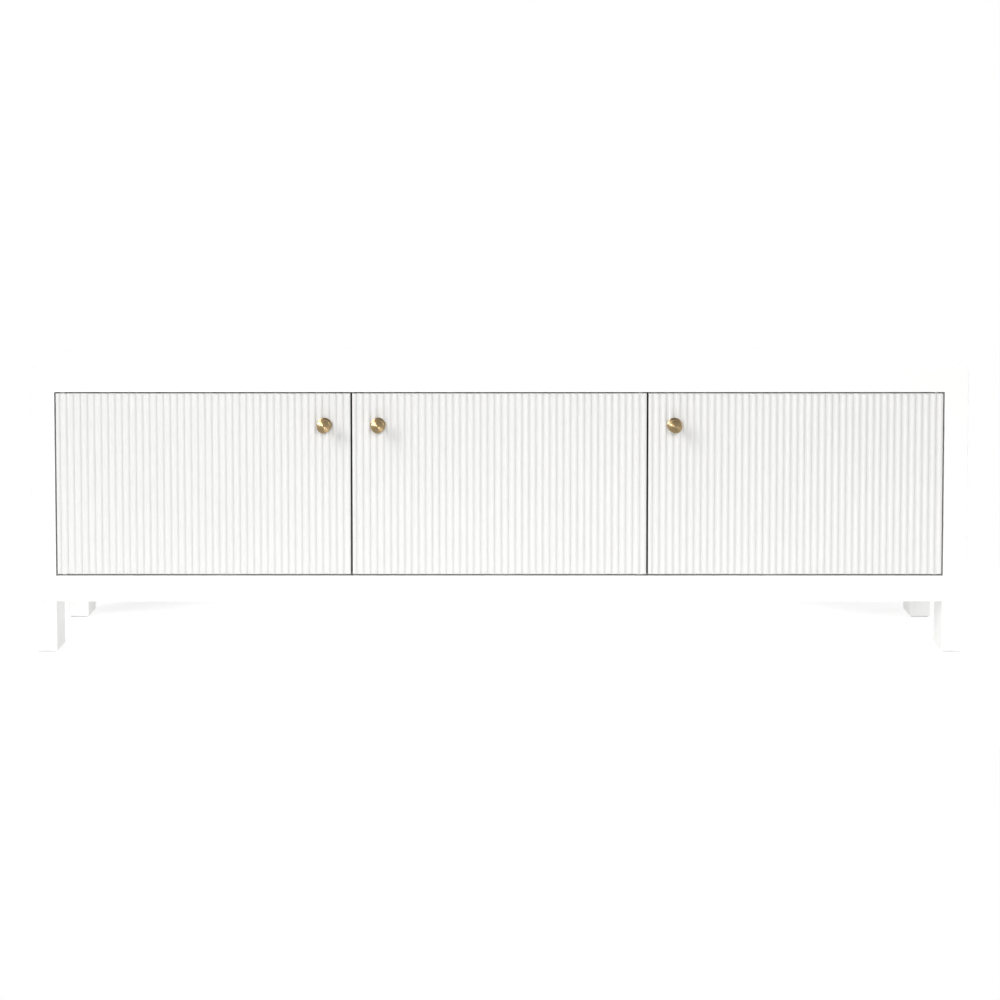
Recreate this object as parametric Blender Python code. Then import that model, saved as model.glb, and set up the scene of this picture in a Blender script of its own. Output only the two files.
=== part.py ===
"""TV stand with three reeded doors.

A low, wide cabinet: a thick case frame on four block legs, two partitions,
three bays with an adjustable shelf each, and three inset doors that swing on
concealed pivot pins. Metres, +Z up, the front faces -Y, and the origin is at
floor level in the middle of the cabinet's outline, knobs included.
"""
import math

import bmesh
import bpy
from mathutils import Matrix, Vector

# Driving dimensions: the case
WIDTH = 1.800
CASE_DEPTH = 0.400
HEIGHT = 0.550
PANEL = 0.045                 # top and side panels
BOTTOM_PANEL = 0.050
PARTITION = 0.018
BACK_PANEL = 0.006
BACK_RECESS = 0.004           # back panels sit this far in from the rear edges
LEG_HEIGHT = 0.0975
LEG_INSET = 0.004             # from the case's outer, front and rear faces
LEG_DEPTH = 0.077
GLIDE = 0.002
GLIDE_INSET = 0.003

# Driving dimensions: the doors
DOOR_THICKNESS = 0.020
DOOR_RECESS = 0.001           # crests of the reeds, behind the case's front edges
GAP_SIDE = 0.0025             # between a door and the case
GAP_DOORS = 0.0035            # between two doors
GAP_LEVEL = 0.0025            # above and below a door
REEDS = 43
REED_PITCH = 0.01328
REED_WIDTH = 0.0093
REED_HEIGHT = 0.0025
REED_FACETS = 4
PIVOT_FROM_EDGE = 0.013
PIVOT_FROM_FRONT = 0.007
DOOR_TO_PARTITION = 0.007

# Driving dimensions: the knobs
KNOB_FROM_EDGE = 0.050
KNOB_FROM_TOP = 0.061
KNOB_REACH = 0.027            # from the crests of the reeds to the knob's face
KNOB_RADIUS = 0.0128
KNOB_HEAD = 0.0090            # thickness of the head
KNOB_SHOULDER = 0.0025        # slope under the head
KNOB_DOME = 0.0022            # rise of the slightly domed face, part of the head
DOME_STEPS = 5
NECK_RADIUS = 0.0060
NECK_FOOT_RADIUS = 0.0072
NECK_FOOT = 0.0030            # height of the flare at the neck's foot
ROSETTE_RADIUS = 0.0143
ROSETTE_THICKNESS = 0.0030
ROSETTE_EDGE = 0.0008         # bevel round the rosette

# Driving dimensions: fittings
CLEARANCE = 0.0003            # between two pieces that touch
PIN_RADIUS = 0.0025
PIN_IN_CASE = 0.014
PIN_IN_DOOR = 0.014
COLLAR_RADIUS = 0.0045
SCREW_RADIUS = 0.0020
SCREW_HEAD_RADIUS = 0.0045
SCREW_HEAD = 0.0025
SCREW_DOME = 0.6              # straight part of the head, and the flat on its crown
SCREW_IN_KNOB = 0.010
SHELF = 0.018
SHELF_SETBACK = 0.020         # from the front edges of the partitions
SHELF_HEIGHT = 0.165          # underside of the shelf, above the bottom panel
SHELF_SIDE_GAP = 0.001
SHELF_PIN_RADIUS = 0.0025
SHELF_PIN_IN = 0.0080
SHELF_PIN_OUT = 0.0100
SHELF_HOLE_PITCH = 0.032
SHELF_HOLES = (-1, 0, 1)      # spare holes below and above the one in use
SHELF_PIN_INSET = 0.050       # from the shelf's front and rear edges
CABLE_HOLE_RADIUS = 0.030
GROMMET_WALL = 0.002
GROMMET_FLANGE = 0.006
GROMMET_LIP = 0.001           # tube, past the panel's inner face
GROMMET_RIM = 0.0015          # flange thickness at its edge
GROMMET_CROWN = 0.0025        # and round the hole
CABLE_HOLE_HEIGHT = 0.060     # above the bottom panel
CATCH_SIZE = Vector((0.040, 0.016, 0.012))
CATCH_FROM_EDGE = 0.050       # centre of the catch, from the door's free edge
STRIKE_SIZE = Vector((0.038, 0.0015, 0.014))
STRIKE_GAP = 0.0005
STRIKE_DROP = 0.004           # top of the strike, below the magnet's top

FACETS_ROUND = 24
FACETS_PIN = 12
FACETS_SMALL = 8
SMOOTH_ANGLE = math.radians(35)
MERGE_DISTANCE = 1e-6

# Derived places
HALF_WIDTH = WIDTH / 2
CASE_BASE = LEG_HEIGHT + GLIDE
KNOB_PROUD = KNOB_REACH - DOOR_RECESS
CASE_FRONT = -(CASE_DEPTH + KNOB_PROUD) / 2 + KNOB_PROUD
CASE_BACK = CASE_FRONT + CASE_DEPTH
OPENING_LEFT = -HALF_WIDTH + PANEL
OPENING_WIDTH = WIDTH - 2 * PANEL
OPENING_LOW = CASE_BASE + BOTTOM_PANEL
OPENING_HIGH = HEIGHT - PANEL
DOOR_WIDTH = (OPENING_WIDTH - 2 * GAP_SIDE - 2 * GAP_DOORS) / 3
DOOR_LOW = OPENING_LOW + GAP_LEVEL
DOOR_HIGH = OPENING_HIGH - GAP_LEVEL
DOOR_FRONT = CASE_FRONT + DOOR_RECESS
DOOR_BACK = DOOR_FRONT + DOOR_THICKNESS
PIVOT_Y = DOOR_FRONT + PIVOT_FROM_FRONT
PARTITION_FRONT = DOOR_BACK + DOOR_TO_PARTITION
PARTITION_X = DOOR_WIDTH / 2 + GAP_DOORS / 2
BACK_FACE = CASE_BACK - BACK_RECESS
BAY_BACK = BACK_FACE - BACK_PANEL
SHELF_LOW = OPENING_LOW + SHELF_HEIGHT
SHELF_FRONT = PARTITION_FRONT + SHELF_SETBACK
SHELF_BACK = BAY_BACK - CLEARANCE
PIN_LEVEL = SHELF_LOW - CLEARANCE - SHELF_PIN_RADIUS
CABLE_LEVEL = OPENING_LOW + CABLE_HOLE_HEIGHT
PARTITION_FACE = PARTITION_X - PARTITION / 2

# Each bay: its name, its inner faces, its door's left edge and the side on
# which the door is hinged (-1 left, +1 right).
BAYS = (
    ("left", (OPENING_LEFT, -PARTITION_X - PARTITION / 2), OPENING_LEFT + GAP_SIDE, -1),
    ("centre", (-PARTITION_FACE, PARTITION_FACE), -DOOR_WIDTH / 2, 1),
    ("right", (PARTITION_X + PARTITION / 2, -OPENING_LEFT), DOOR_WIDTH / 2 + GAP_DOORS, 1),
)

LACQUER = ("white_lacquer", (0.86, 0.86, 0.85), 0.38, 0.0)
BOARD = ("white_board", (0.80, 0.80, 0.79), 0.55, 0.0)
BRASS = ("brushed_brass", (0.72, 0.56, 0.30), 0.32, 1.0)
STEEL = ("zinc_steel", (0.62, 0.63, 0.65), 0.35, 1.0)
PLASTIC = ("white_plastic", (0.82, 0.82, 0.81), 0.45, 0.0)
FELT = ("grey_felt", (0.62, 0.62, 0.61), 0.95, 0.0)


def clear_scene():
    for obj in list(bpy.data.objects):
        bpy.data.objects.remove(obj, do_unlink=True)


def make_material(finish):
    """One Principled material for a finish, made once."""
    name, colour, roughness, metallic = finish
    material = bpy.data.materials.get(name)
    if material is None:
        material = bpy.data.materials.new(name)
        material.use_nodes = True
        shader = material.node_tree.nodes["Principled BSDF"]
        shader.inputs["Base Color"].default_value = (*colour, 1.0)
        shader.inputs["Roughness"].default_value = roughness
        shader.inputs["Metallic"].default_value = metallic
    return material


def add_object(name, mesh, finish, location=(0, 0, 0), parent=None):
    """Link a mesh as a named object at a place in the world."""
    obj = bpy.data.objects.new(name, mesh)
    bpy.context.scene.collection.objects.link(obj)
    obj.location = Vector(location) - (parent.location if parent else Vector())
    obj.parent = parent
    if finish:
        mesh.materials.append(make_material(finish))
    return obj


def finish_mesh(name, shape, smooth=False):
    """Turn a bmesh into a mesh with outward faces."""
    bmesh.ops.recalc_face_normals(shape, faces=shape.faces)
    mesh = bpy.data.meshes.new(name)
    shape.to_mesh(mesh)
    shape.free()
    if smooth:
        mesh.shade_smooth()
        mesh.set_sharp_from_angle(angle=SMOOTH_ANGLE)
    return mesh


def box_mesh(name, low, high, centre):
    """A block between two world corners, stored around its own centre."""
    shape = bmesh.new()
    bmesh.ops.create_cube(shape, size=1.0)
    size = Vector(high) - Vector(low)
    middle = (Vector(high) + Vector(low)) / 2 - Vector(centre)
    place = Matrix.Translation(middle) @ Matrix.Diagonal((*size, 1))
    bmesh.ops.transform(shape, matrix=place, verts=shape.verts)
    return finish_mesh(name, shape)


def add_block(name, low, high, finish, parent=None):
    centre = (Vector(low) + Vector(high)) / 2
    return add_object(name, box_mesh(name, low, high, centre), finish, centre, parent)


def prism_mesh(name, outline, direction):
    """A closed outline of points, pushed along a direction."""
    shape = bmesh.new()
    face = shape.faces.new([shape.verts.new(point) for point in outline])
    pushed = bmesh.ops.extrude_face_region(shape, geom=[face])
    moved = [item for item in pushed["geom"] if isinstance(item, bmesh.types.BMVert)]
    bmesh.ops.translate(shape, vec=direction, verts=moved)
    return finish_mesh(name, shape)


def turned_mesh(name, profile, facets, closed=False):
    """A turned solid about -Y: profile holds (radius, distance in front)."""
    shape = bmesh.new()
    verts = [shape.verts.new((radius, -front, 0)) for radius, front in profile]
    edges = [shape.edges.new(pair) for pair in zip(verts, verts[1:])]
    if closed:
        edges.append(shape.edges.new((verts[-1], verts[0])))
    bmesh.ops.spin(
        shape, geom=verts + edges, cent=(0, 0, 0), axis=(0, 1, 0),
        angle=2 * math.pi, steps=facets, use_merge=True,
    )
    bmesh.ops.remove_doubles(shape, verts=shape.verts, dist=MERGE_DISTANCE)
    return finish_mesh(name, shape, smooth=True)


def add_rod(shape, start, end, radius, facets):
    """Add a closed cylinder between two points to a bmesh."""
    start, end = Vector(start), Vector(end)
    along = end - start
    place = Matrix.Translation((start + end) / 2) @ along.to_track_quat("Z", "Y").to_matrix().to_4x4()
    bmesh.ops.create_cone(
        shape, cap_ends=True, segments=facets, radius1=radius, radius2=radius,
        depth=along.length, matrix=place,
    )


def cut_rods(target, rods):
    """Bore holes in a piece with one hidden cutter made of closed cylinders."""
    shape = bmesh.new()
    for rod in rods:
        add_rod(shape, *rod)
    cutter = add_object(f"{target.name}_cutter", finish_mesh(f"{target.name}_cutter", shape), None)
    cutter.hide_render = True
    cutter.display_type = "WIRE"
    if target.parent:
        cutter.location = -target.parent.location
        cutter.parent = target.parent
    bore = target.modifiers.new("bores", "BOOLEAN")
    bore.operation = "DIFFERENCE"
    bore.solver = "EXACT"
    bore.object = cutter


def reed_outline(left):
    """The door's section seen from above: flat back, reeds along the front."""
    right = left + DOOR_WIDTH
    middle = left + DOOR_WIDTH / 2
    valley = DOOR_FRONT + REED_HEIGHT
    points = [(right, DOOR_BACK), (left, DOOR_BACK)]
    for reed in range(REEDS):
        centre = middle + (reed - (REEDS - 1) / 2) * REED_PITCH
        for facet in range(REED_FACETS + 1):
            offset = REED_WIDTH * (facet / REED_FACETS - 0.5)
            crown = 1 - (2 * offset / REED_WIDTH) ** 2
            x = min(max(centre + offset, left), right)
            points.append((x, valley - REED_HEIGHT * crown))
    return points


def pivot_bores(x, radius):
    """The rods that bore one door's pin holes, in the case and in the door."""
    reach = CLEARANCE
    top = OPENING_HIGH + PIN_IN_CASE + reach
    low = OPENING_LOW - PIN_IN_CASE - reach
    in_door_top = DOOR_HIGH - PIN_IN_DOOR - reach
    in_door_low = DOOR_LOW + PIN_IN_DOOR + reach
    return (
        ((x, PIVOT_Y, in_door_top), (x, PIVOT_Y, top), radius, FACETS_PIN),
        ((x, PIVOT_Y, low), (x, PIVOT_Y, in_door_low), radius, FACETS_PIN),
    )


def pivot_x(left, hinge_side):
    """The pivot's place across the cabinet, from the door's left edge."""
    return left + PIVOT_FROM_EDGE if hinge_side < 0 else left + DOOR_WIDTH - PIVOT_FROM_EDGE


def free_edge(left, hinge_side):
    """The door's free edge, and the direction from it towards the hinge."""
    return (left + DOOR_WIDTH, -1) if hinge_side < 0 else (left, 1)


def pin_places(bay_faces):
    """Where the four shelf pins of a bay leave its side faces: x, direction, y."""
    left, right = bay_faces
    fronts = (("front", SHELF_FRONT + SHELF_PIN_INSET), ("back", SHELF_BACK - SHELF_PIN_INSET))
    return [(f"{row}_{side}", face, inward, y)
            for row, y in fronts
            for side, face, inward in (("left", left, 1), ("right", right, -1))]


def shelf_hole_rods(face, inward):
    """Blind holes for shelf pins in one face, in rows of spare heights."""
    rods = []
    for y in (SHELF_FRONT + SHELF_PIN_INSET, SHELF_BACK - SHELF_PIN_INSET):
        for step in SHELF_HOLES:
            z = PIN_LEVEL + step * SHELF_HOLE_PITCH
            deep = face - inward * (SHELF_PIN_IN + CLEARANCE)
            out = face + inward * CLEARANCE
            rods.append(((deep, y, z), (out, y, z), SHELF_PIN_RADIUS + CLEARANCE, FACETS_SMALL))
    return rods


def add_case():
    """Top with mitred ends, two sides mitred to it, and a bottom between them."""
    slack = CLEARANCE / 2
    inner = HALF_WIDTH - PANEL
    depth = Vector((0, CASE_DEPTH, 0))
    pin_rods = [rod for _, _, left, side in BAYS
                for rod in pivot_bores(pivot_x(left, side), PIN_RADIUS + CLEARANCE)]

    top_outline = [(-HALF_WIDTH + slack, HEIGHT), (HALF_WIDTH - slack, HEIGHT),
                   (inner - slack, OPENING_HIGH), (-inner + slack, OPENING_HIGH)]
    top = add_object("top_panel", prism_mesh(
        "top_panel", [(x, 0, z - HEIGHT) for x, z in top_outline], depth), LACQUER, (0, CASE_FRONT, HEIGHT))
    cut_rods(top, [rod for rod in pin_rods if rod[1][2] > OPENING_HIGH])

    bottom = add_block(
        "bottom_panel", (-inner + CLEARANCE, CASE_FRONT, CASE_BASE),
        (inner - CLEARANCE, CASE_BACK, OPENING_LOW), LACQUER)
    cut_rods(bottom, [rod for rod in pin_rods if rod[0][2] < OPENING_LOW])

    for name, side in (("left", -1), ("right", 1)):
        outline = [(side * HALF_WIDTH, CASE_BASE), (side * inner, CASE_BASE),
                   (side * inner, OPENING_HIGH - slack), (side * HALF_WIDTH, HEIGHT - slack)]
        base_x = side * HALF_WIDTH
        panel = add_object(f"side_panel_{name}", prism_mesh(
            f"side_panel_{name}", [(x - base_x, 0, z - CASE_BASE) for x, z in outline], depth),
            LACQUER, (base_x, CASE_FRONT, CASE_BASE))
        cut_rods(panel, shelf_hole_rods(side * inner, -side))


def add_partitions():
    for name, side in (("left", -1), ("right", 1)):
        x = side * PARTITION_X
        partition = add_block(
            f"partition_{name}", (x - PARTITION / 2, PARTITION_FRONT, OPENING_LOW + CLEARANCE),
            (x + PARTITION / 2, BACK_FACE, OPENING_HIGH - CLEARANCE), BOARD)
        cut_rods(partition, shelf_hole_rods(x - PARTITION / 2, -1) + shelf_hole_rods(x + PARTITION / 2, 1))


def add_back(name, bay_faces):
    """A back panel with its cable hole, and the grommet that lines the hole."""
    left, right = bay_faces
    middle = (left + right) / 2
    panel = add_block(
        f"back_panel_{name}", (left + CLEARANCE, BAY_BACK, OPENING_LOW + CLEARANCE),
        (right - CLEARANCE, BACK_FACE, OPENING_HIGH - CLEARANCE), BOARD)
    cut_rods(panel, [((middle, BAY_BACK - PANEL, CABLE_LEVEL), (middle, BACK_FACE + PANEL, CABLE_LEVEL),
                      CABLE_HOLE_RADIUS, FACETS_ROUND)])
    # The tube passes through the panel, and the flange lies on its rear face.
    outer = CABLE_HOLE_RADIUS * math.cos(math.pi / FACETS_ROUND) - CLEARANCE
    inner = outer - GROMMET_WALL
    flange = CABLE_HOLE_RADIUS + GROMMET_FLANGE
    end = BACK_PANEL + GROMMET_LIP
    profile = [(inner, end), (outer, end), (outer, -CLEARANCE),
               (flange, -CLEARANCE), (flange, -GROMMET_RIM), (inner, -GROMMET_CROWN)]
    mesh = turned_mesh(f"cable_grommet_{name}", profile, FACETS_ROUND, closed=True)
    add_object(f"cable_grommet_{name}", mesh, PLASTIC, (middle, BACK_FACE, CABLE_LEVEL))


def add_shelf(name, bay_faces):
    left, right = bay_faces
    add_block(f"shelf_{name}", (left + SHELF_SIDE_GAP, SHELF_FRONT, SHELF_LOW),
              (right - SHELF_SIDE_GAP, SHELF_BACK, SHELF_LOW + SHELF), BOARD)
    for place, face, inward, y in pin_places(bay_faces):
        shape = bmesh.new()
        add_rod(shape, (-inward * SHELF_PIN_IN, 0, 0), (inward * SHELF_PIN_OUT, 0, 0),
                SHELF_PIN_RADIUS, FACETS_SMALL)
        mesh = finish_mesh(f"shelf_pin_{name}_{place}", shape, smooth=True)
        add_object(f"shelf_pin_{name}_{place}", mesh, STEEL, (face, y, PIN_LEVEL))


def add_legs():
    """Four block legs, each with its inner face in line with the side panel's."""
    width = PANEL - LEG_INSET
    for side_name, side in (("left", -1), ("right", 1)):
        outer = side * (HALF_WIDTH - LEG_INSET)
        low_x, high_x = sorted((outer, outer - side * width))
        rows = (("front", CASE_FRONT + LEG_INSET), ("back", CASE_BACK - LEG_INSET - LEG_DEPTH))
        for row_name, front in rows:
            name = f"{row_name}_{side_name}"
            add_block(f"leg_{name}", (low_x, front, GLIDE + CLEARANCE),
                      (high_x, front + LEG_DEPTH, CASE_BASE - CLEARANCE), LACQUER)
            add_block(f"leg_glide_{name}", (low_x + GLIDE_INSET, front + GLIDE_INSET, 0),
                      (high_x - GLIDE_INSET, front + LEG_DEPTH - GLIDE_INSET, GLIDE), FELT)


def knob_profile():
    """The turned knob, from the screw hole's bottom round to its face."""
    hole = SCREW_RADIUS + CLEARANCE
    base = ROSETTE_THICKNESS + CLEARANCE
    depth = base + SCREW_IN_KNOB + CLEARANCE
    head = KNOB_REACH - KNOB_HEAD
    angles = [math.pi / 2 * step / DOME_STEPS for step in range(DOME_STEPS)]
    dome = [(KNOB_RADIUS * math.cos(angle), KNOB_REACH - KNOB_DOME * (1 - math.sin(angle)))
            for angle in angles]
    return [
        (0, depth), (hole, depth), (hole, base), (NECK_FOOT_RADIUS, base), (NECK_RADIUS, base + NECK_FOOT),
        (NECK_RADIUS, head - KNOB_SHOULDER), (KNOB_RADIUS, head), *dome, (0, KNOB_REACH),
    ]


def rosette_profile():
    """A thin round plate with a hole for the screw."""
    hole = SCREW_RADIUS + CLEARANCE
    return [(hole, CLEARANCE), (ROSETTE_RADIUS, CLEARANCE),
            (ROSETTE_RADIUS, ROSETTE_THICKNESS - ROSETTE_EDGE),
            (ROSETTE_RADIUS - ROSETTE_EDGE, ROSETTE_THICKNESS), (hole, ROSETTE_THICKNESS)]


def screw_profile():
    """A pan-head machine screw that enters from the door's back."""
    tip = ROSETTE_THICKNESS + SCREW_IN_KNOB
    seat = -DOOR_THICKNESS - CLEARANCE
    return [(0, tip), (SCREW_RADIUS, tip), (SCREW_RADIUS, seat), (SCREW_HEAD_RADIUS, seat),
            (SCREW_HEAD_RADIUS, seat - SCREW_HEAD * SCREW_DOME),
            (SCREW_HEAD_RADIUS * SCREW_DOME, seat - SCREW_HEAD),
            (0, seat - SCREW_HEAD)]


def add_door(name, left, hinge_side):
    """A reeded door with its knob, rosette, screw and strike, on its pivot axis."""
    x = pivot_x(left, hinge_side)
    hinge = bpy.data.objects.new(f"hinge_{name}", None)
    hinge.location = (x, PIVOT_Y, DOOR_LOW)
    bpy.context.scene.collection.objects.link(hinge)

    outline = [(px - x, py - PIVOT_Y, 0) for px, py in reed_outline(left)]
    mesh = prism_mesh(f"door_{name}", outline, Vector((0, 0, DOOR_HIGH - DOOR_LOW)))
    door = add_object(f"door_{name}", mesh, LACQUER, hinge.location, hinge)
    edge, inward = free_edge(left, hinge_side)
    knob_x = edge + inward * KNOB_FROM_EDGE
    knob_z = DOOR_HIGH - KNOB_FROM_TOP
    screw_hole = ((knob_x, DOOR_FRONT - PANEL, knob_z), (knob_x, DOOR_BACK + PANEL, knob_z),
                  SCREW_RADIUS + CLEARANCE, FACETS_SMALL)
    cut_rods(door, [*pivot_bores(x, PIN_RADIUS + CLEARANCE), screw_hole])

    at_knob = (knob_x, DOOR_FRONT, knob_z)
    turned = (("knob", knob_profile(), FACETS_ROUND, BRASS, False),
              ("knob_rosette", rosette_profile(), FACETS_ROUND, BRASS, True),
              ("knob_screw", screw_profile(), FACETS_SMALL, STEEL, False))
    for piece, profile, facets, finish, closed in turned:
        mesh = turned_mesh(f"{piece}_{name}", profile, facets, closed)
        add_object(f"{piece}_{name}", mesh, finish, at_knob, hinge)

    catch_x = edge + inward * CATCH_FROM_EDGE
    half = STRIKE_SIZE.x / 2
    strike_high = OPENING_HIGH - CLEARANCE - STRIKE_DROP
    add_block(f"catch_strike_{name}", (catch_x - half, DOOR_BACK + CLEARANCE, strike_high - STRIKE_SIZE.z),
              (catch_x + half, DOOR_BACK + CLEARANCE + STRIKE_SIZE.y, strike_high), STEEL, hinge)


def add_pivot_pins(name, left, hinge_side):
    """A pin with a thin collar, fixed in the case and entering the door."""
    x = pivot_x(left, hinge_side)
    collar = GAP_LEVEL - 2 * CLEARANCE
    for level, place, up in (("top", OPENING_HIGH, 1), ("bottom", OPENING_LOW, -1)):
        # Heights are measured from the case's inner face into the case.
        into_door = -(GAP_LEVEL + PIN_IN_DOOR)
        profile = [(0, PIN_IN_CASE), (PIN_RADIUS, PIN_IN_CASE), (PIN_RADIUS, -CLEARANCE),
                   (COLLAR_RADIUS, -CLEARANCE), (COLLAR_RADIUS, -CLEARANCE - collar),
                   (PIN_RADIUS, -CLEARANCE - collar), (PIN_RADIUS, into_door), (0, into_door)]
        mesh = turned_mesh(f"pivot_pin_{name}_{level}", profile, FACETS_PIN)
        mesh.transform(Matrix.Rotation(-up * math.pi / 2, 4, "X"))
        add_object(f"pivot_pin_{name}_{level}", mesh, STEEL, (x, PIVOT_Y, place))


def add_catch(name, left, hinge_side):
    """The magnet in its housing, under the top panel behind the door's corner."""
    edge, inward = free_edge(left, hinge_side)
    x = edge + inward * CATCH_FROM_EDGE
    front = DOOR_BACK + CLEARANCE + STRIKE_SIZE.y + STRIKE_GAP
    high = OPENING_HIGH - CLEARANCE
    add_block(f"catch_magnet_{name}", (x - CATCH_SIZE.x / 2, front, high - CATCH_SIZE.z),
              (x + CATCH_SIZE.x / 2, front + CATCH_SIZE.y, high), PLASTIC)


def main():
    clear_scene()
    add_case()
    add_partitions()
    add_legs()
    for name, bay_faces, left, hinge_side in BAYS:
        add_back(name, bay_faces)
        add_shelf(name, bay_faces)
        add_door(name, left, hinge_side)
        add_pivot_pins(name, left, hinge_side)
        add_catch(name, left, hinge_side)


main()
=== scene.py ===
import math

import bmesh
import bpy
from mathutils import Matrix, Vector


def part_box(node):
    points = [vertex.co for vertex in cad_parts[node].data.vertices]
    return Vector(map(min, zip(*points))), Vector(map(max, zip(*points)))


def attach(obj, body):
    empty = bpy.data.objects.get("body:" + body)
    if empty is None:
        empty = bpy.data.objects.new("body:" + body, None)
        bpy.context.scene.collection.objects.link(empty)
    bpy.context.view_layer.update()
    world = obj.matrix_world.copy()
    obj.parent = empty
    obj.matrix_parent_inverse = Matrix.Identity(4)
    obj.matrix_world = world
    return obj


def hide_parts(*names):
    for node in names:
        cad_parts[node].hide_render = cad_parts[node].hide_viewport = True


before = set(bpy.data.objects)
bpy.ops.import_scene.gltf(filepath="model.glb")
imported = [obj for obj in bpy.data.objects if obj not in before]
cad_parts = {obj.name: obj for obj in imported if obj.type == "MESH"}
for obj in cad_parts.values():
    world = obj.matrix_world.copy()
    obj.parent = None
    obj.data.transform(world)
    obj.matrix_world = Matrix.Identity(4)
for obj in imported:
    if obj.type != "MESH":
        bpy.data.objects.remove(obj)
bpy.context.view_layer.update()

BAYS = ("left", "centre", "right")
CASE = "case"
MM = 0.001

# Edges
OUTER_EDGE = 1.2 * MM         # rounding of the case's outer edges
OUTER_CORNER = 1.6 * MM       # rounding of its four long corners
INNER_EDGE = 0.4 * MM         # rounding round the door opening
BOARD_EDGE = 0.6 * MM
BACK_EDGE = 0.3 * MM          # of the back panels
LEG_EDGE = 1.2 * MM
LEG_CORNER = 2.0 * MM
GLIDE_EDGE = 0.8 * MM
GLIDE_CORNER = 3 * MM
EDGE_STEPS = 4
ARC_STEP = math.radians(12)   # longest step round an arc
SHARP = math.radians(38)      # edges bent by more than this stay crisp

# Reeding; the first four are as in the solids
REEDS = 43
REED_PITCH = 13.28 * MM
REED_WIDTH = 9.3 * MM
REED_HEIGHT = 2.5 * MM
REED_STEPS = 10
REED_CROWDING = 0.8           # how far the steps crowd towards a reed's edges, from 0 to 1
REED_END_ROUND = 3.0 * MM     # rounded ends of the reeds, top and bottom
DOOR_SIDE_ROUND = 1.0 * MM
DOOR_BACK_EDGE = 0.6 * MM
ROUND_STEPS = 8

# Knobs
KNOB_NECK = 6 * MM            # radius
KNOB_HEAD = 9 * MM            # thickness
KNOB_SHOULDER = 2.2 * MM      # slope under the head
KNOB_EDGE = 1.1 * MM
FACE_RISE = 0.9 * MM          # of the slightly domed face
FACE_STEPS = 8

# Near-black strips of painted shade on the partitions' front edges, behind the gaps between the doors
STRIP_THICKNESS = 3 * MM
STRIP_INSET = 1.5 * MM
STRIP_EDGE = 0.6 * MM

# Fittings; pins, bores and tubes are given by their radius
HOLE_PITCH = 32 * MM
SHELF_HOLE = 2.8 * MM
SHELF_HOLE_DEPTH = 8.3 * MM
PIVOT_BORE = 2.8 * MM
CASE_BORE_DEPTH = 15 * MM
DOOR_BORE_DEPTH = 17 * MM
PIVOT_PIN = 2.5 * MM
PIN_IN_CASE = 14 * MM
COLLAR_GAP = 0.3 * MM         # between the collar and the case
COLLAR_THICKNESS = 1.9 * MM
SCREW_BORE = 2.3 * MM
SCREW_SHAFT = 2.0 * MM
SCREW_HEAD = 2.5 * MM         # height
CABLE_HOLE = 29.8 * MM
GROMMET_TUBE = 29.4 * MM
GROMMET_BORE = 27.4 * MM
GROMMET_FLANGE = 2.2 * MM     # thickness
CATCH_FACE = 0.4 * MM         # the catch's case behind its pole plates' front edges
POLE_OFFSET = 7 * MM          # of a pole plate, from the catch's middle
POLE_PLATE = (0.9 * MM, 6 * MM, 4 * MM)     # half its thickness, its depth, half its height
LATHE_FACETS = 96
SMALL_FACETS = 32

# Colours
LACQUER_COLOUR = (0.95, 0.95, 0.942)
# The doors take the case's white lacquer painted darker, as painted shade of their reeds
SHADED_REED_COLOUR = (0.814, 0.814, 0.806)
BOARD_COLOUR = (0.80, 0.80, 0.79)
BRASS_COLOUR = (0.76, 0.59, 0.35)
BRASS_SHADE = (0.64, 0.48, 0.27)
STEEL_COLOUR = (0.62, 0.63, 0.65)
STEEL_SHADE = (0.52, 0.53, 0.54)
PLASTIC_COLOUR = (0.82, 0.82, 0.81)
FELT_COLOUR = (0.72, 0.72, 0.71)
FELT_SHADE = (0.60, 0.60, 0.59)
# Near-black, as painted shade in the gaps between the doors
SHADE_STRIP_COLOUR = (0.035, 0.035, 0.035)
SHADE_STRIP_DARKER = (0.018, 0.018, 0.018)

# Studio
CAMERA_PLACE = (0.001, -4.244, 0.944)
CAMERA_TILT = math.radians(3.14)            # downwards
CAMERA_LENS = 76.45
CAMERA_SHIFT = -0.2204
LIGHTS_AIM = Vector((0, 0, 0.3))
WORLD_LOW = 0.50
WORLD_HIGH = 0.05
FLOOR_COLOUR = (0.35, 0.35, 0.35)
FLOOR_REACH = (1.55, 1.0, 0)                # half the floor's length and depth
FLOOR_DROP = 0.2 * MM                       # below the feet
FLOOR_GLOW = 0.68
FLOOR_EDGE_GLOW = 0.95
FLOOR_EDGE_RAMP = (0.5, 1.0)                # as parts of the floor's reach
FLOOR_CENTRE_GLOW = 0.15                    # added under the middle of the stand
FLOOR_CENTRE_RAMP = (0.42, 0.57)
VIEW_GAMMA = 0.88

# The Mix node's colour sockets, whose names its other sockets have too
MIX_FIRST, MIX_SECOND, MIX_RESULT = 6, 7, 2


# ---------------------------------------------------------------- materials

def set_inputs(tree, node, inputs):
    """Set a node's inputs, each to a value or to another node's output."""
    for key, value in inputs.items():
        if isinstance(value, bpy.types.NodeSocket):
            tree.links.new(value, node.inputs[key])
        else:
            node.inputs[key].default_value = value


def add_node(tree, kind, inputs=None, **settings):
    """Add a shader node, with its settings and its inputs."""
    node = tree.nodes.new(kind)
    for key, value in settings.items():
        setattr(node, key, value)
    set_inputs(tree, node, inputs or {})
    return node


def principled(name, colour, roughness, inputs=None):
    """A new material with a Principled shader whose fixed values sit on its own sockets."""
    material = bpy.data.materials.new(name)
    material.use_nodes = True
    tree = material.node_tree
    shader = tree.nodes["Principled BSDF"]
    set_inputs(tree, shader, {"Base Color": (*colour, 1), "Roughness": roughness, **(inputs or {})})
    place = add_node(tree, "ShaderNodeTexCoord").outputs["Object"]
    return material, tree, shader, place


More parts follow.
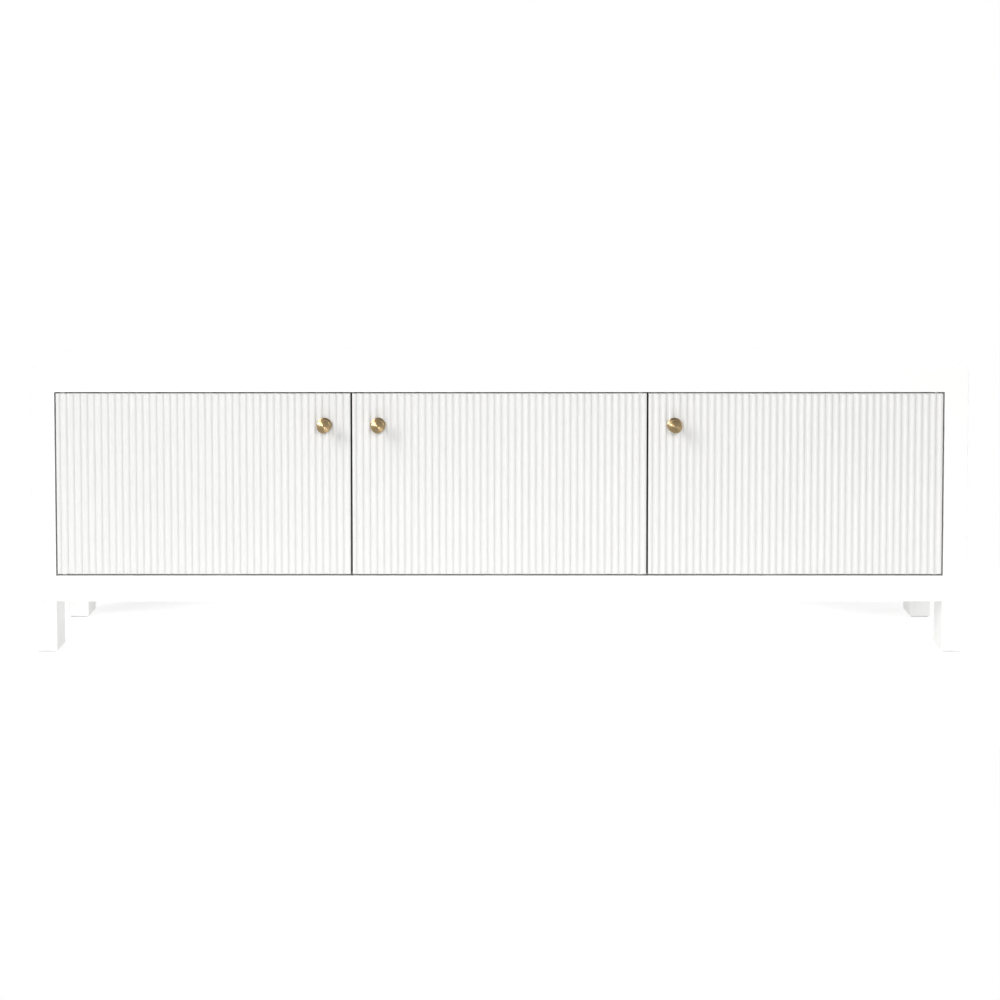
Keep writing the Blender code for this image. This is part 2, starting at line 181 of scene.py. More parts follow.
def noise(tree, place, size, detail=2.0, roughness=0.5):
    """Noise whose features are about size metres across."""
    return add_node(tree, "ShaderNodeTexNoise", {
        "Vector": place, "Scale": 1 / size, "Detail": detail, "Roughness": roughness}).outputs["Fac"]


def vary(tree, factor, low, high):
    """Spread a 0.3 to 0.7 noise over a range of values."""
    return add_node(tree, "ShaderNodeMapRange", {
        "Value": factor, "From Min": 0.3, "From Max": 0.7, "To Min": low, "To Max": high}).outputs["Result"]


def mottle(tree, pattern, first, second):
    """Blend two colours by a noise pattern."""
    inputs = {"Factor": vary(tree, pattern, 0, 1), MIX_FIRST: (*first, 1), MIX_SECOND: (*second, 1)}
    return add_node(tree, "ShaderNodeMix", inputs, data_type="RGBA").outputs[MIX_RESULT]


def darker(colour, share):
    return [channel * share for channel in colour]


def bump(tree, height, depth, strength, under=None):
    """Relief of a depth in metres, over another relief if one is given."""
    inputs = {"Height": height, "Distance": depth, "Strength": strength}
    if under:
        inputs["Normal"] = under
    return add_node(tree, "ShaderNodeBump", inputs).outputs["Normal"]


def lacquer_material(name, colour):
    """Satin white lacquer on MDF: faint tone drift, patchy gloss, orange peel and slight waves."""
    material, tree, shader, place = principled(name, colour, 0.38, {"Specular IOR Level": 0.45})
    peel = bump(tree, noise(tree, place, 1.6 * MM, 2), 0.02 * MM, 0.5)
    set_inputs(tree, shader, {
        "Base Color": mottle(tree, noise(tree, place, 0.22, 3), colour, darker(colour, 0.985)),
        "Roughness": vary(tree, noise(tree, place, 0.035, 4), 0.33, 0.43),
        "Normal": bump(tree, noise(tree, place, 18 * MM, 1), 0.05 * MM, 0.4, peel)})
    return material


def board_material():
    """Matt white melamine on board, with its fine pearled texture."""
    material, tree, shader, place = principled(
        "white_board", BOARD_COLOUR, 0.55, {"Specular IOR Level": 0.35})
    cells = add_node(tree, "ShaderNodeTexVoronoi", {"Vector": place, "Scale": 1 / (0.9 * MM)})
    set_inputs(tree, shader, {
        "Base Color": mottle(tree, noise(tree, place, 0.3, 2), BOARD_COLOUR, darker(BOARD_COLOUR, 0.97)),
        "Roughness": vary(tree, noise(tree, place, 0.02, 3), 0.5, 0.62),
        "Normal": bump(tree, cells.outputs["Distance"], 0.03 * MM, 0.6)})
    return material


def brass_material():
    """Brass turned on a lathe: fine rings round the axis stretch the highlights."""
    material, tree, shader, place = principled("brushed_brass", BRASS_COLOUR, 0.2, {
        "Metallic": 1.0, "Anisotropic": 0.9, "Anisotropic Rotation": 0.25})
    split = add_node(tree, "ShaderNodeSeparateXYZ", {"Vector": place}).outputs
    across = add_node(tree, "ShaderNodeCombineXYZ", {"X": split["X"], "Z": split["Z"]}).outputs["Vector"]
    radius = add_node(tree, "ShaderNodeVectorMath", {0: across}, operation="LENGTH").outputs["Value"]
    along = add_node(tree, "ShaderNodeMath", {0: radius, 1: split["Y"]}, operation="ADD").outputs["Value"]
    rings = add_node(tree, "ShaderNodeTexNoise", {"W": along, "Scale": 1 / (0.22 * MM), "Detail": 3.0},
                     noise_dimensions="1D").outputs["Fac"]
    tangent = add_node(tree, "ShaderNodeTangent", direction_type="RADIAL", axis="Y").outputs["Tangent"]
    set_inputs(tree, shader, {
        "Base Color": mottle(tree, rings, BRASS_COLOUR, BRASS_SHADE),
        "Roughness": vary(tree, noise(tree, place, 7 * MM, 3), 0.26, 0.33),
        "Tangent": tangent})
    return material


def steel_material():
    """Zinc-plated steel, with its mottled passivation."""
    material, tree, shader, place = principled("zinc_steel", STEEL_COLOUR, 0.33, {"Metallic": 1.0})
    patches = noise(tree, place, 3 * MM, 4, 0.6)
    set_inputs(tree, shader, {
        "Base Color": mottle(tree, patches, STEEL_COLOUR, STEEL_SHADE),
        "Roughness": vary(tree, patches, 0.26, 0.42),
        "Normal": bump(tree, noise(tree, place, 0.4 * MM, 2), 0.01 * MM, 0.4)})
    return material


def plastic_material():
    """White moulded plastic with a fine spark-eroded texture."""
    material, tree, shader, place = principled("white_plastic", PLASTIC_COLOUR, 0.45)
    grain = noise(tree, place, 0.35 * MM, 3)
    set_inputs(tree, shader, {
        "Base Color": mottle(tree, noise(tree, place, 0.01, 2), PLASTIC_COLOUR, darker(PLASTIC_COLOUR, 0.97)),
        "Roughness": vary(tree, grain, 0.4, 0.52),
        "Normal": bump(tree, grain, 0.015 * MM, 0.5)})
    return material


def felt_material(name, colour, shade):
    """Pressed felt: tangled fibres and a soft sheen."""
    material, tree, shader, place = principled(
        name, colour, 0.95, {"Sheen Weight": 0.4, "Sheen Roughness": 0.6, "Specular IOR Level": 0.1})
    fibres = noise(tree, place, 0.5 * MM, 6, 0.7)
    set_inputs(tree, shader, {
        "Base Color": mottle(tree, fibres, colour, shade),
        "Normal": bump(tree, fibres, 0.3 * MM, 0.8)})
    return material


FINISHES = {
    "white_lacquer": lacquer_material("white_lacquer", LACQUER_COLOUR),
    # The doors' lacquer: the case's white painted darker, as painted shade of the reeds
    "shaded_reeded_lacquer": lacquer_material("shaded_reeded_lacquer", SHADED_REED_COLOUR),
    "white_board": board_material(),
    "brushed_brass": brass_material(),
    "zinc_steel": steel_material(),
    "white_plastic": plastic_material(),
    "grey_felt": felt_material("grey_felt", FELT_COLOUR, FELT_SHADE),
    # A near-black finish that paints shade behind the gaps between the doors
    "painted_shade_felt": felt_material("painted_shade_felt", SHADE_STRIP_COLOUR, SHADE_STRIP_DARKER),
}


# ---------------------------------------------------------------- mesh tools

def fillet(corners, closed=True):
    """An outline whose corners (u, v, radius) are rounded with arcs."""
    points = []
    count = len(corners)
    for index, (u, v, radius) in enumerate(corners):
        here = Vector((u, v))
        at_end = not closed and index in (0, count - 1)
        if radius <= 0 or at_end:
            points.append(here)
            continue
        back = (Vector(corners[index - 1][:2]) - here).normalized()
        ahead = (Vector(corners[(index + 1) % count][:2]) - here).normalized()
        half = back.angle(ahead) / 2
        centre = here + (back + ahead).normalized() * (radius / math.sin(half))
        start = here + back * (radius / math.tan(half)) - centre
        turn = start.angle_signed(here + ahead * (radius / math.tan(half)) - centre)
        steps = max(1, math.ceil(abs(turn) / ARC_STEP))
        for step in range(steps + 1):
            points.append(centre + Matrix.Rotation(-turn * step / steps, 2) @ start)
    return points


def arc(centre, radius, start, end):
    """Points on an arc between two angles in degrees."""
    steps = max(1, math.ceil(abs(math.radians(end - start)) / ARC_STEP))
    angles = [math.radians(start + (end - start) * step / steps) for step in range(steps + 1)]
    return [Vector((centre[0] + radius * math.cos(a), centre[1] + radius * math.sin(a))) for a in angles]


def inset_outline(points, insets):
    """Move each edge of an anticlockwise outline inwards by its own inset."""
    moved = []
    for index, here in enumerate(points):
        into = (here - points[index - 1]).normalized()
        onward = (points[(index + 1) % len(points)] - here).normalized()
        shift_in = Vector((-into.y, into.x)) * insets[index - 1]
        shift_on = Vector((-onward.y, onward.x)) * insets[index]
        turn = into.x * onward.y - into.y * onward.x
        if abs(turn) < 1e-5:
            moved.append(here + shift_in)
            continue
        gap = shift_on - shift_in
        moved.append(here + shift_in + into * ((gap.x * onward.y - gap.y * onward.x) / turn))
    return moved


def to_mesh(name, shape):
    """Finish a bmesh: outward faces, smooth shading with crisp edges."""
    bmesh.ops.recalc_face_normals(shape, faces=shape.faces)
    mesh = bpy.data.meshes.new(name)
    shape.to_mesh(mesh)
    shape.free()
    mesh.shade_smooth()
    mesh.set_sharp_from_angle(angle=SHARP)
    return mesh


def skin(rings, closed=False):
    """A bmesh that joins rings of equally many points with quads, and its rows of vertices."""
    shape = bmesh.new()
    rows = [[shape.verts.new(point) for point in ring] for ring in rings]
    for first, second in zip(rows, rows[1:] + rows[:1] if closed else rows[1:]):
        for index in range(len(first)):
            shape.faces.new((first[index - 1], first[index], second[index], second[index - 1]))
    return shape, rows


def loft(name, rings):
    """A closed mesh through rings of points, with a face across each end."""
    shape, rows = skin(rings)
    shape.faces.new(rows[0])
    shape.faces.new(rows[-1])
    return to_mesh(name, shape)


def rounded_prism(name, outline, insets, low, high, axis):
    """Push an outline along an axis, rounding its two end edges by the insets."""
    place = {"Y": lambda u, v, w: (u, w, v), "Z": lambda u, v, w: (u, v, w)}[axis]
    radius = max(insets)
    angles = [math.pi / 2 * step / EDGE_STEPS for step in range(EDGE_STEPS + 1)]
    rings = []
    for end, inward in ((low, 1), (high, -1)):
        for angle in angles if inward > 0 else reversed(angles):
            at = end + inward * radius * (1 - math.cos(angle))
            inner = inset_outline(outline, [inset * (1 - math.sin(angle)) for inset in insets])
            rings.append([place(point.x, point.y, at) for point in inner])
    return loft(name, rings)


def rounded_box(name, low, high, edge, corner=None, axis="Z"):
    """A block with rounded ends, and corners rounded along one axis."""
    across = {"Y": (0, 2, 1), "Z": (0, 1, 2)}[axis]
    corner = corner or edge * 1.3
    u0, v0, w0 = (low[i] for i in across)
    u1, v1, w1 = (high[i] for i in across)
    outline = fillet([(u0, v0, corner), (u1, v0, corner), (u1, v1, corner), (u0, v1, corner)])
    return rounded_prism(name, outline, [edge] * len(outline), w0, w1, axis)


def turn_profile(name, profile, direction, facets=LATHE_FACETS, closed=False):
    """A turned mesh about an axis through the origin; profile holds (radius, height) points."""
    aim = Vector(direction).to_track_quat("Z", "Y").to_matrix()
    angles = [2 * math.pi * step / facets for step in range(facets)]
    rings = [[aim @ Vector((radius * math.cos(angle), radius * math.sin(angle), height)) for angle in angles]
             for radius, height in profile]
    shape, _ = skin(rings, closed)
    bmesh.ops.remove_doubles(shape, verts=shape.verts, dist=1e-7)
    bmesh.ops.dissolve_degenerate(shape, edges=shape.edges, dist=1e-8)
    return to_mesh(name, shape)


def carve(mesh, cutter):
    """Cut one closed mesh out of another and give back the result."""
    body = bpy.data.objects.new("carve_body", mesh)
    tool = bpy.data.objects.new("carve_tool", cutter)
    for obj in (body, tool):
        bpy.context.scene.collection.objects.link(obj)
    cut = body.modifiers.new("cut", "BOOLEAN")
    cut.operation = "DIFFERENCE"
    cut.solver = "EXACT"
    cut.object = tool
    graph = bpy.context.evaluated_depsgraph_get()
    result = bpy.data.meshes.new_from_object(body.evaluated_get(graph))
    result.set_sharp_from_angle(angle=SHARP)
    name = mesh.name
    for obj in (body, tool):
        bpy.data.objects.remove(obj)
    for spent in (mesh, cutter):
        bpy.data.meshes.remove(spent)
    result.name = name
    return result


def bore(mesh, rods):
    """Cut round holes; each rod is a start, an end and a radius."""
    shape = bmesh.new()
    for start, end, radius in rods:
        start, end = Vector(start), Vector(end)
        along = end - start
        place = Matrix.Translation((start + end) / 2) @ along.to_track_quat("Z", "Y").to_matrix().to_4x4()
        bmesh.ops.create_cone(shape, cap_ends=True, segments=SMALL_FACETS, radius1=radius, radius2=radius,
                              depth=along.length, matrix=place)
    return carve(mesh, to_mesh("rods", shape))


def add_piece(mesh, finish, body, node=None, place=(0, 0, 0), even_shading=False):
    """Put a finished mesh in the scene, riding on its body, for the solid it stands for."""
    mesh.materials.clear()
    mesh.materials.append(FINISHES[finish])
    piece = bpy.data.objects.new(mesh.name, mesh)
    piece.location = place
    bpy.context.scene.collection.objects.link(piece)
    if even_shading:
        weighted = piece.modifiers.new("even_shading", "WEIGHTED_NORMAL")
        weighted.keep_sharp = True
    bpy.context.view_layer.update()
    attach(piece, body)
    if node:
        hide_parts(node)


def middle(node):
    """The centre of a node's box."""
    low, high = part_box(node)
    return (Vector(low) + Vector(high)) / 2


# ---------------------------------------------------------------- the case

SIDE_LOW, SIDE_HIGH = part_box("side_panel_left")
TOP_LOW, TOP_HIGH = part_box("top_panel")
BOTTOM_LOW, BOTTOM_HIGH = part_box("bottom_panel")
CASE_FRONT, CASE_BACK = SIDE_LOW[1], SIDE_HIGH[1]
CASE_LEFT, OPENING_LEFT = SIDE_LOW[0], SIDE_HIGH[0]
CASE_TOP, OPENING_TOP = TOP_HIGH[2], TOP_LOW[2]
CASE_BASE, OPENING_BASE = BOTTOM_LOW[2], BOTTOM_HIGH[2]


def shelf_hole_rods(face, inward):
    """The pin holes bored into one upright face, found from the pins in use."""
    rods = []
    for row in ("front", "back"):
        pin = middle(f"shelf_pin_left_{row}_left")
        for step in (-1, 0, 1):
            level = pin.z + step * HOLE_PITCH
            rods.append(((face - inward * SHELF_HOLE_DEPTH, pin.y, level),
                         (face + inward * MM, pin.y, level), SHELF_HOLE))
    return rods


def pivot_rods(level, face, outward):
    """The bores for the doors' pivot pins in the top or the bottom panel."""
    mouth, floor = face + outward * MM, face - outward * CASE_BORE_DEPTH
    pins = [middle(f"pivot_pin_{bay}_{level}") for bay in BAYS]
    return [((pin.x, pin.y, mouth), (pin.x, pin.y, floor), PIVOT_BORE) for pin in pins]


def add_case_panel(node, outline, insets, rods):
    """A lacquered panel of the case: its outline seen from the front, run from front to back."""
    mesh = rounded_prism(f"{node}_lacquered", outline, insets, CASE_FRONT, CASE_BACK, "Y")
    add_piece(bore(mesh, rods), "white_lacquer", CASE, node, even_shading=True)


def add_top():
    """The top panel, with its ends mitred to the sides and its corners rounded."""
    centre_x = -CASE_LEFT - OUTER_CORNER
    centre_z = CASE_TOP - OUTER_CORNER
    right = arc((centre_x, centre_z), OUTER_CORNER, 45, 90)
    left = arc((-centre_x, centre_z), OUTER_CORNER, 90, 135)
    outline = [Vector((OPENING_LEFT, OPENING_TOP)), Vector((-OPENING_LEFT, OPENING_TOP)), *right, *left]
    insets = [INNER_EDGE, 0] + [OUTER_EDGE] * (len(right) + len(left) - 1) + [0]
    add_case_panel("top_panel", outline, insets, pivot_rods("top", OPENING_TOP, -1))


def add_sides():
    """The side panels, with their tops mitred; the right one mirrors the left one."""
    centre_x = CASE_LEFT + OUTER_CORNER
    upper = arc((centre_x, CASE_TOP - OUTER_CORNER), OUTER_CORNER, 135, 180)
    lower = arc((centre_x, CASE_BASE + OUTER_CORNER), OUTER_CORNER, 180, 270)
    outline = [Vector((OPENING_LEFT, CASE_BASE)), Vector((OPENING_LEFT, OPENING_TOP)), *upper, *lower]
    insets = [INNER_EDGE, 0] + [OUTER_EDGE] * (len(upper) + len(lower))
    add_case_panel("side_panel_left", outline, insets, shelf_hole_rods(OPENING_LEFT, 1))
    outline = [Vector((-point.x, point.y)) for point in reversed(outline)]
    insets = insets[:-1][::-1] + insets[-1:]
    add_case_panel("side_panel_right", outline, insets, shelf_hole_rods(-OPENING_LEFT, -1))


def add_bottom():
    outline = [Vector(p) for p in ((OPENING_LEFT, CASE_BASE), (-OPENING_LEFT, CASE_BASE),
                                   (-OPENING_LEFT, OPENING_BASE), (OPENING_LEFT, OPENING_BASE))]
    add_case_panel("bottom_panel", outline, [OUTER_EDGE, 0, INNER_EDGE, 0],
                   pivot_rods("bottom", OPENING_BASE, 1))


def add_partitions():
    """Partitions with pin holes, each with a near-black strip of painted shade on its front edge."""
    for name in ("left", "right"):
        low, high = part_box(f"partition_{name}")
        mesh = rounded_box(f"partition_{name}_faced", low, high, BOARD_EDGE)
        rods = shelf_hole_rods(low[0], -1) + shelf_hole_rods(high[0], 1)
        add_piece(bore(mesh, rods), "white_board", CASE, f"partition_{name}", even_shading=True)
        # A near-black strip of painted shade behind the gaps between the doors
        mesh = rounded_box(f"painted_shade_strip_{name}",
                           (low[0] + STRIP_INSET, low[1] - STRIP_THICKNESS, low[2] + MM),
                           (high[0] - STRIP_INSET, low[1], high[2] - MM), STRIP_EDGE)
        add_piece(mesh, "painted_shade_felt", CASE)


def add_boards():
    """Shelves, and back panels with cable holes."""
    for bay in BAYS:
        low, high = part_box(f"shelf_{bay}")
        mesh = rounded_box(f"shelf_{bay}_faced", low, high, BOARD_EDGE)
        add_piece(mesh, "white_board", CASE, f"shelf_{bay}", even_shading=True)
        low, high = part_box(f"back_panel_{bay}")
        mesh = rounded_box(f"back_panel_{bay}_faced", low, high, BACK_EDGE)
        hole = middle(f"cable_grommet_{bay}")
        mesh = bore(mesh, [((hole.x, low[1] - MM, hole.z), (hole.x, high[1] + MM, hole.z), CABLE_HOLE)])
        add_piece(mesh, "white_board", CASE, f"back_panel_{bay}", even_shading=True)


def add_grommets():
    """A turned sleeve with a rounded flange on the rear face of each back panel."""
    for bay in BAYS:
        node = f"cable_grommet_{bay}"
        low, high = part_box(node)
        reach = high[1] - low[1]
        flange = (high[0] - low[0]) / 2
        profile = fillet([
            (GROMMET_BORE, 0, 0.4 * MM), (GROMMET_TUBE, 0, 0.6 * MM),
            (GROMMET_TUBE, reach - GROMMET_FLANGE, 0), (flange, reach - GROMMET_FLANGE, 0.3 * MM),
            (flange, reach - 1.2 * MM, 0.8 * MM), (flange - 4 * MM, reach, 1.2 * MM),
            (GROMMET_BORE, reach, 1.2 * MM)])
        mesh = turn_profile(f"{node}_moulded", profile, (0, 1, 0), closed=True)
        add_piece(mesh, "white_plastic", CASE, node, (middle(node).x, low[1], middle(node).z))


def add_shelf_pins():
    """Plated pins with rounded ends, which carry the shelves."""
    for bay in BAYS:
        for row in ("front", "back"):
            for side, inward in (("left", 1), ("right", -1)):
                node = f"shelf_pin_{bay}_{row}_{side}"
                low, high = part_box(node)
                radius = (high[2] - low[2]) / 2
                length = high[0] - low[0]
                profile = fillet([(0, 0, 0), (radius, 0, 0.5 * MM), (radius, length, 0.7 * MM),
                                  (0, length, 0)], closed=False)
                mesh = turn_profile(f"{node}_plated", profile, (inward, 0, 0), SMALL_FACETS)
                start = low[0] if inward > 0 else high[0]
                add_piece(mesh, "zinc_steel", CASE, node, (start, middle(node).y, middle(node).z))


def add_legs():
    """Lacquered block legs on felt glides."""
    for row in ("front", "back"):
        for side in ("left", "right"):
            leg, glide = f"leg_{row}_{side}", f"leg_glide_{row}_{side}"
            mesh = rounded_box(f"{leg}_lacquered", *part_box(leg), LEG_EDGE, LEG_CORNER)
            add_piece(mesh, "white_lacquer", CASE, leg, even_shading=True)
            mesh = rounded_box(f"{glide}_felt", *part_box(glide), GLIDE_EDGE, GLIDE_CORNER)
            add_piece(mesh, "grey_felt", CASE, glide)


# ---------------------------------------------------------------- the doors

def reed_rise(across):
    """How far the reeded face stands above the valleys, at a distance across from the middle."""
    arc_radius = (REED_WIDTH / 2) ** 2 / (2 * REED_HEIGHT) + REED_HEIGHT / 2
    reed = max(-(REEDS // 2), min(REEDS // 2, round(across / REED_PITCH)))
    offset = min(abs(across - reed * REED_PITCH), REED_WIDTH / 2)
    return math.sqrt(arc_radius ** 2 - offset ** 2) - (arc_radius - REED_HEIGHT)


def round_drop(distance, radius):
    """How far a rounded edge falls below its face, at a distance from the edge."""
    if distance >= radius:
        return 0.0
    return radius - math.sqrt(max(radius ** 2 - (radius - distance) ** 2, 0))


def reed_stations(half_width):
    """Places across the door: close together on each reed, and at the rounded sides."""
    stations = set()
    widest = math.pi / 2 * REED_CROWDING
    for reed in range(-(REEDS // 2), REEDS // 2 + 1):
        for step in range(REED_STEPS + 1):
            angle = widest * (2 * step / REED_STEPS - 1)
            share = math.sin(angle) / math.sin(widest)
            stations.add(round(reed * REED_PITCH + REED_WIDTH / 2 * share, 7))
    for step in range(ROUND_STEPS + 1):
        inset = DOOR_SIDE_ROUND * (1 - math.cos(math.pi / 2 * step / ROUND_STEPS))
        stations.update((round(half_width - inset, 7), round(inset - half_width, 7)))
    kept = sorted(s for s in stations if abs(s) <= half_width + 1e-9)
    return [kept[0]] + [b for a, b in zip(kept, kept[1:]) if b - a > 0.02 * MM]


def door_mesh(name, low, high):
    """The door as a loft of upright loops, one at each station across its width."""
    half_width = (high[0] - low[0]) / 2
    centre = (high[0] + low[0]) / 2
    crest, back = low[1], high[1]
    levels = [REED_END_ROUND * (1 - math.cos(math.pi / 2 * step / ROUND_STEPS))
              for step in range(ROUND_STEPS + 1)]
    rings = []
    for station in reed_stations(half_width):
        from_side = half_width - abs(station)
        side_drop = round_drop(from_side, DOOR_SIDE_ROUND)
        reed_drop = REED_HEIGHT - reed_rise(station)
        edge = max(DOOR_BACK_EDGE - from_side, 0)
        x = centre + station
        loop = []
        for base, upward in ((low[2], 1), (high[2], -1)):
            rows = []
            for level in levels:
                drop = max(reed_drop, side_drop, round_drop(level, REED_END_ROUND))
                rows.append((x, crest + drop, base + upward * level))
            loop += rows if upward > 0 else rows[::-1]
        loop += [(x, back - DOOR_BACK_EDGE, high[2]), (x, back - edge, high[2] - DOOR_BACK_EDGE),
                 (x, back - edge, low[2] + DOOR_BACK_EDGE), (x, back - DOOR_BACK_EDGE, low[2])]
        rings.append(loop)
    return loft(name, rings)


def add_door(bay):
    """A door panel, bored for its pivot pins and its knob's screw."""
    node = f"door_{bay}"
    low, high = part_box(node)
    top, bottom = middle(f"pivot_pin_{bay}_top"), middle(f"pivot_pin_{bay}_bottom")
    screw = middle(f"knob_screw_{bay}")
    rods = [((top.x, top.y, high[2] - DOOR_BORE_DEPTH), (top.x, top.y, high[2] + MM), PIVOT_BORE),
            ((bottom.x, bottom.y, low[2] - MM), (bottom.x, bottom.y, low[2] + DOOR_BORE_DEPTH), PIVOT_BORE),
            ((screw.x, low[1] - MM, screw.z), (screw.x, high[1] + MM, screw.z), SCREW_BORE)]
    add_piece(bore(door_mesh(f"{node}_reeded", low, high), rods), "shaded_reeded_lacquer", node, node)


def size_on_door(node):
    """The radius, length and rear end of a turned piece that points out of a door."""
    low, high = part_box(node)
    return (high[0] - low[0]) / 2, high[1] - low[1], (middle(node).x, high[1], middle(node).z)


def add_knob(bay):
    """A turned brass knob, with a slightly domed face."""
    node = f"knob_{bay}"
    radius, reach, place = size_on_door(node)
    rim, head = reach - FACE_RISE, reach - KNOB_HEAD
    profile = fillet([
        (0, 0, 0), (KNOB_NECK * 1.25, 0, 0.3 * MM), (KNOB_NECK * 1.2, 1.2 * MM, 0.8 * MM),
        (KNOB_NECK, 3.2 * MM, 2 * MM), (KNOB_NECK, head - KNOB_SHOULDER, 3 * MM), (radius, head, 1.2 * MM),
        (radius, rim, KNOB_EDGE), (radius - 2 * KNOB_EDGE, rim + KNOB_EDGE * FACE_RISE / radius, 0)],
        closed=False)
    start = profile[-1].x
    for step in range(1, FACE_STEPS + 1):
        across = start * (1 - step / FACE_STEPS)
        profile.append(Vector((across, reach - FACE_RISE * (across / radius) ** 2)))
    mesh = turn_profile(f"{node}_turned", profile, (0, -1, 0))
    add_piece(mesh, "brushed_brass", f"door_{bay}", node, place)


def add_rosette(bay):
    """The stepped round plate behind a knob."""
    node = f"knob_rosette_{bay}"
    radius, thick, place = size_on_door(node)
    profile = fillet([
        (SCREW_BORE, 0, 0), (radius, 0, 0.3 * MM), (radius, thick * 0.62, 0.6 * MM),
        (radius - 1.5 * MM, thick * 0.75, 0.8 * MM), (radius - 3.2 * MM, thick, 0.8 * MM),
        (SCREW_BORE, thick, 0)])
    mesh = turn_profile(f"{node}_turned", profile, (0, -1, 0), closed=True)
    add_piece(mesh, "brushed_brass", f"door_{bay}", node, place)


def cross_recess(reach, depth):
    """A tapered cross, to be cut into a screw head at the origin, towards -Y."""
    rings = []
    for level, tip, arm in ((MM, reach, 0.5 * MM), (-depth, reach * 0.45, 0.35 * MM)):
        quarter = [Vector((tip, -arm)), Vector((tip, arm)), Vector((arm, arm))]
        ring = [Matrix.Rotation(math.pi / 2 * turn, 2) @ point for turn in range(4) for point in quarter]
        rings.append([(point.x, level, point.y) for point in ring])
    return loft("cross", rings)


def add_knob_screw(bay):
    """A cross-head screw from the inside of the door into the knob."""
    node = f"knob_screw_{bay}"
    radius, length, place = size_on_door(node)
    profile = fillet([
        (0, 0, 0), (radius * 0.75, 0, 1.5 * MM), (radius, SCREW_HEAD * 0.45, MM),
        (radius, SCREW_HEAD, 0.2 * MM), (SCREW_SHAFT, SCREW_HEAD, 0), (SCREW_SHAFT, length - MM, 0.3 * MM),
        (SCREW_SHAFT * 0.7, length, 0), (0, length, 0)], closed=False)
    mesh = turn_profile(f"{node}_plated", profile, (0, -1, 0), SMALL_FACETS)
    mesh = carve(mesh, cross_recess(radius * 0.62, 1.6 * MM))
    add_piece(mesh, "zinc_steel", f"door_{bay}", node, place)


def add_pivot_pins(bay):
    """Turned pins with a collar that keeps the door off the case."""
    for level, up in (("top", 1), ("bottom", -1)):
        node = f"pivot_pin_{bay}_{level}"
        low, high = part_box(node)
        collar = (high[0] - low[0]) / 2
        length = high[2] - low[2]
        first = PIN_IN_CASE + COLLAR_GAP
        last = first + COLLAR_THICKNESS
        profile = fillet([
            (0, 0, 0), (PIVOT_PIN, 0, 0.5 * MM), (PIVOT_PIN, first, 0), (collar, first, 0.2 * MM),
            (collar, last, 0.2 * MM), (PIVOT_PIN, last, 0), (PIVOT_PIN, length, 0.8 * MM), (0, length, 0)],
            closed=False)
        mesh = turn_profile(f"{node}_plated", profile, (0, 0, -up), SMALL_FACETS)
        start = high[2] if up > 0 else low[2]
        add_piece(mesh, "zinc_steel", CASE, node, (middle(node).x, middle(node).y, start))


def add_catch(bay):
    """A magnetic catch with two pole plates, and its strike."""
    node = f"catch_magnet_{bay}"
    low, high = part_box(node)
    front = Vector(low) + Vector((0, CATCH_FACE, 0))
    mesh = rounded_box(f"{node}_moulded", front, high, 0.8 * MM, 1.5 * MM, "Y")
    add_piece(mesh, "white_plastic", CASE, node, even_shading=True)
    thick, deep, tall = POLE_PLATE
    for side, offset in (("left", -POLE_OFFSET), ("right", POLE_OFFSET)):
        x, z = middle(node).x + offset, middle(node).z
        mesh = rounded_box(f"catch_pole_{bay}_{side}", (x - thick, low[1], z - tall),
                           (x + thick, low[1] + deep, z + tall), 0.15 * MM)
        add_piece(mesh, "zinc_steel", CASE)
    node = f"catch_strike_{bay}"
    mesh = rounded_box(f"{node}_plated", *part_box(node), 0.25 * MM, 3 * MM, "Y")
    add_piece(mesh, "zinc_steel", f"door_{bay}", node, even_shading=True)


def add_doors():
    for bay in BAYS:
        for add in (add_door, add_knob, add_rosette, add_knob_screw, add_pivot_pins, add_catch):
            add(bay)


# ---------------------------------------------------------------- the studio

def add_camera():
    """A long lens above the stand, looking slightly down, its frame shifted to centre the stand."""
    data = bpy.data.cameras.new("camera")
    data.sensor_width = 36
    data.lens = CAMERA_LENS
    data.shift_y = CAMERA_SHIFT
    camera = bpy.data.objects.new("camera", data)
    camera.location = CAMERA_PLACE
    camera.rotation_euler = (math.radians(90) - CAMERA_TILT, 0, 0)
    bpy.context.scene.collection.objects.link(camera)
    bpy.context.scene.camera = camera


def add_softbox(name, azimuth, elevation, distance, size, power):
    """A softbox on a sphere round the stand; azimuth 0 is the front, and size is (width, height)."""
    data = bpy.data.lights.new(name, "AREA")
    data.shape = "RECTANGLE"
    data.size, data.size_y = size
    data.energy = power
    light = bpy.data.objects.new(name, data)
    a, e = math.radians(azimuth), math.radians(elevation)
    away = Vector((math.sin(a) * math.cos(e), -math.cos(a) * math.cos(e), math.sin(e)))
    light.location = LIGHTS_AIM + away * distance
    light.rotation_mode = "QUATERNION"
    light.rotation_quaternion = away.to_track_quat("Z", "Y")
    light.visible_camera = False
    bpy.context.scene.collection.objects.link(light)
    return light


def add_world():
    """White to the camera; for the light, a soft gradient that is brightest low down."""
    world = bpy.data.worlds.new("studio")
    bpy.context.scene.world = world
    world.use_nodes = True
    tree = world.node_tree
    tree.nodes.clear()
    direction = add_node(tree, "ShaderNodeTexCoord").outputs["Generated"]
    height = add_node(tree, "ShaderNodeSeparateXYZ", {"Vector": direction}).outputs["Z"]
    level = add_node(tree, "ShaderNodeMapRange", {
        "Value": height, "From Min": -0.1, "From Max": 0.9, "To Min": WORLD_LOW, "To Max": WORLD_HIGH})
    seen = add_node(tree, "ShaderNodeLightPath").outputs["Is Camera Ray"]
    strength = add_node(tree, "ShaderNodeMix", {
        "Factor": seen, "A": level.outputs["Result"], "B": 1.0}, data_type="FLOAT").outputs["Result"]
    shine = add_node(tree, "ShaderNodeBackground", {"Color": (1, 1, 1, 1), "Strength": strength})
    output = add_node(tree, "ShaderNodeOutputWorld")
    tree.links.new(shine.outputs[0], output.inputs["Surface"])


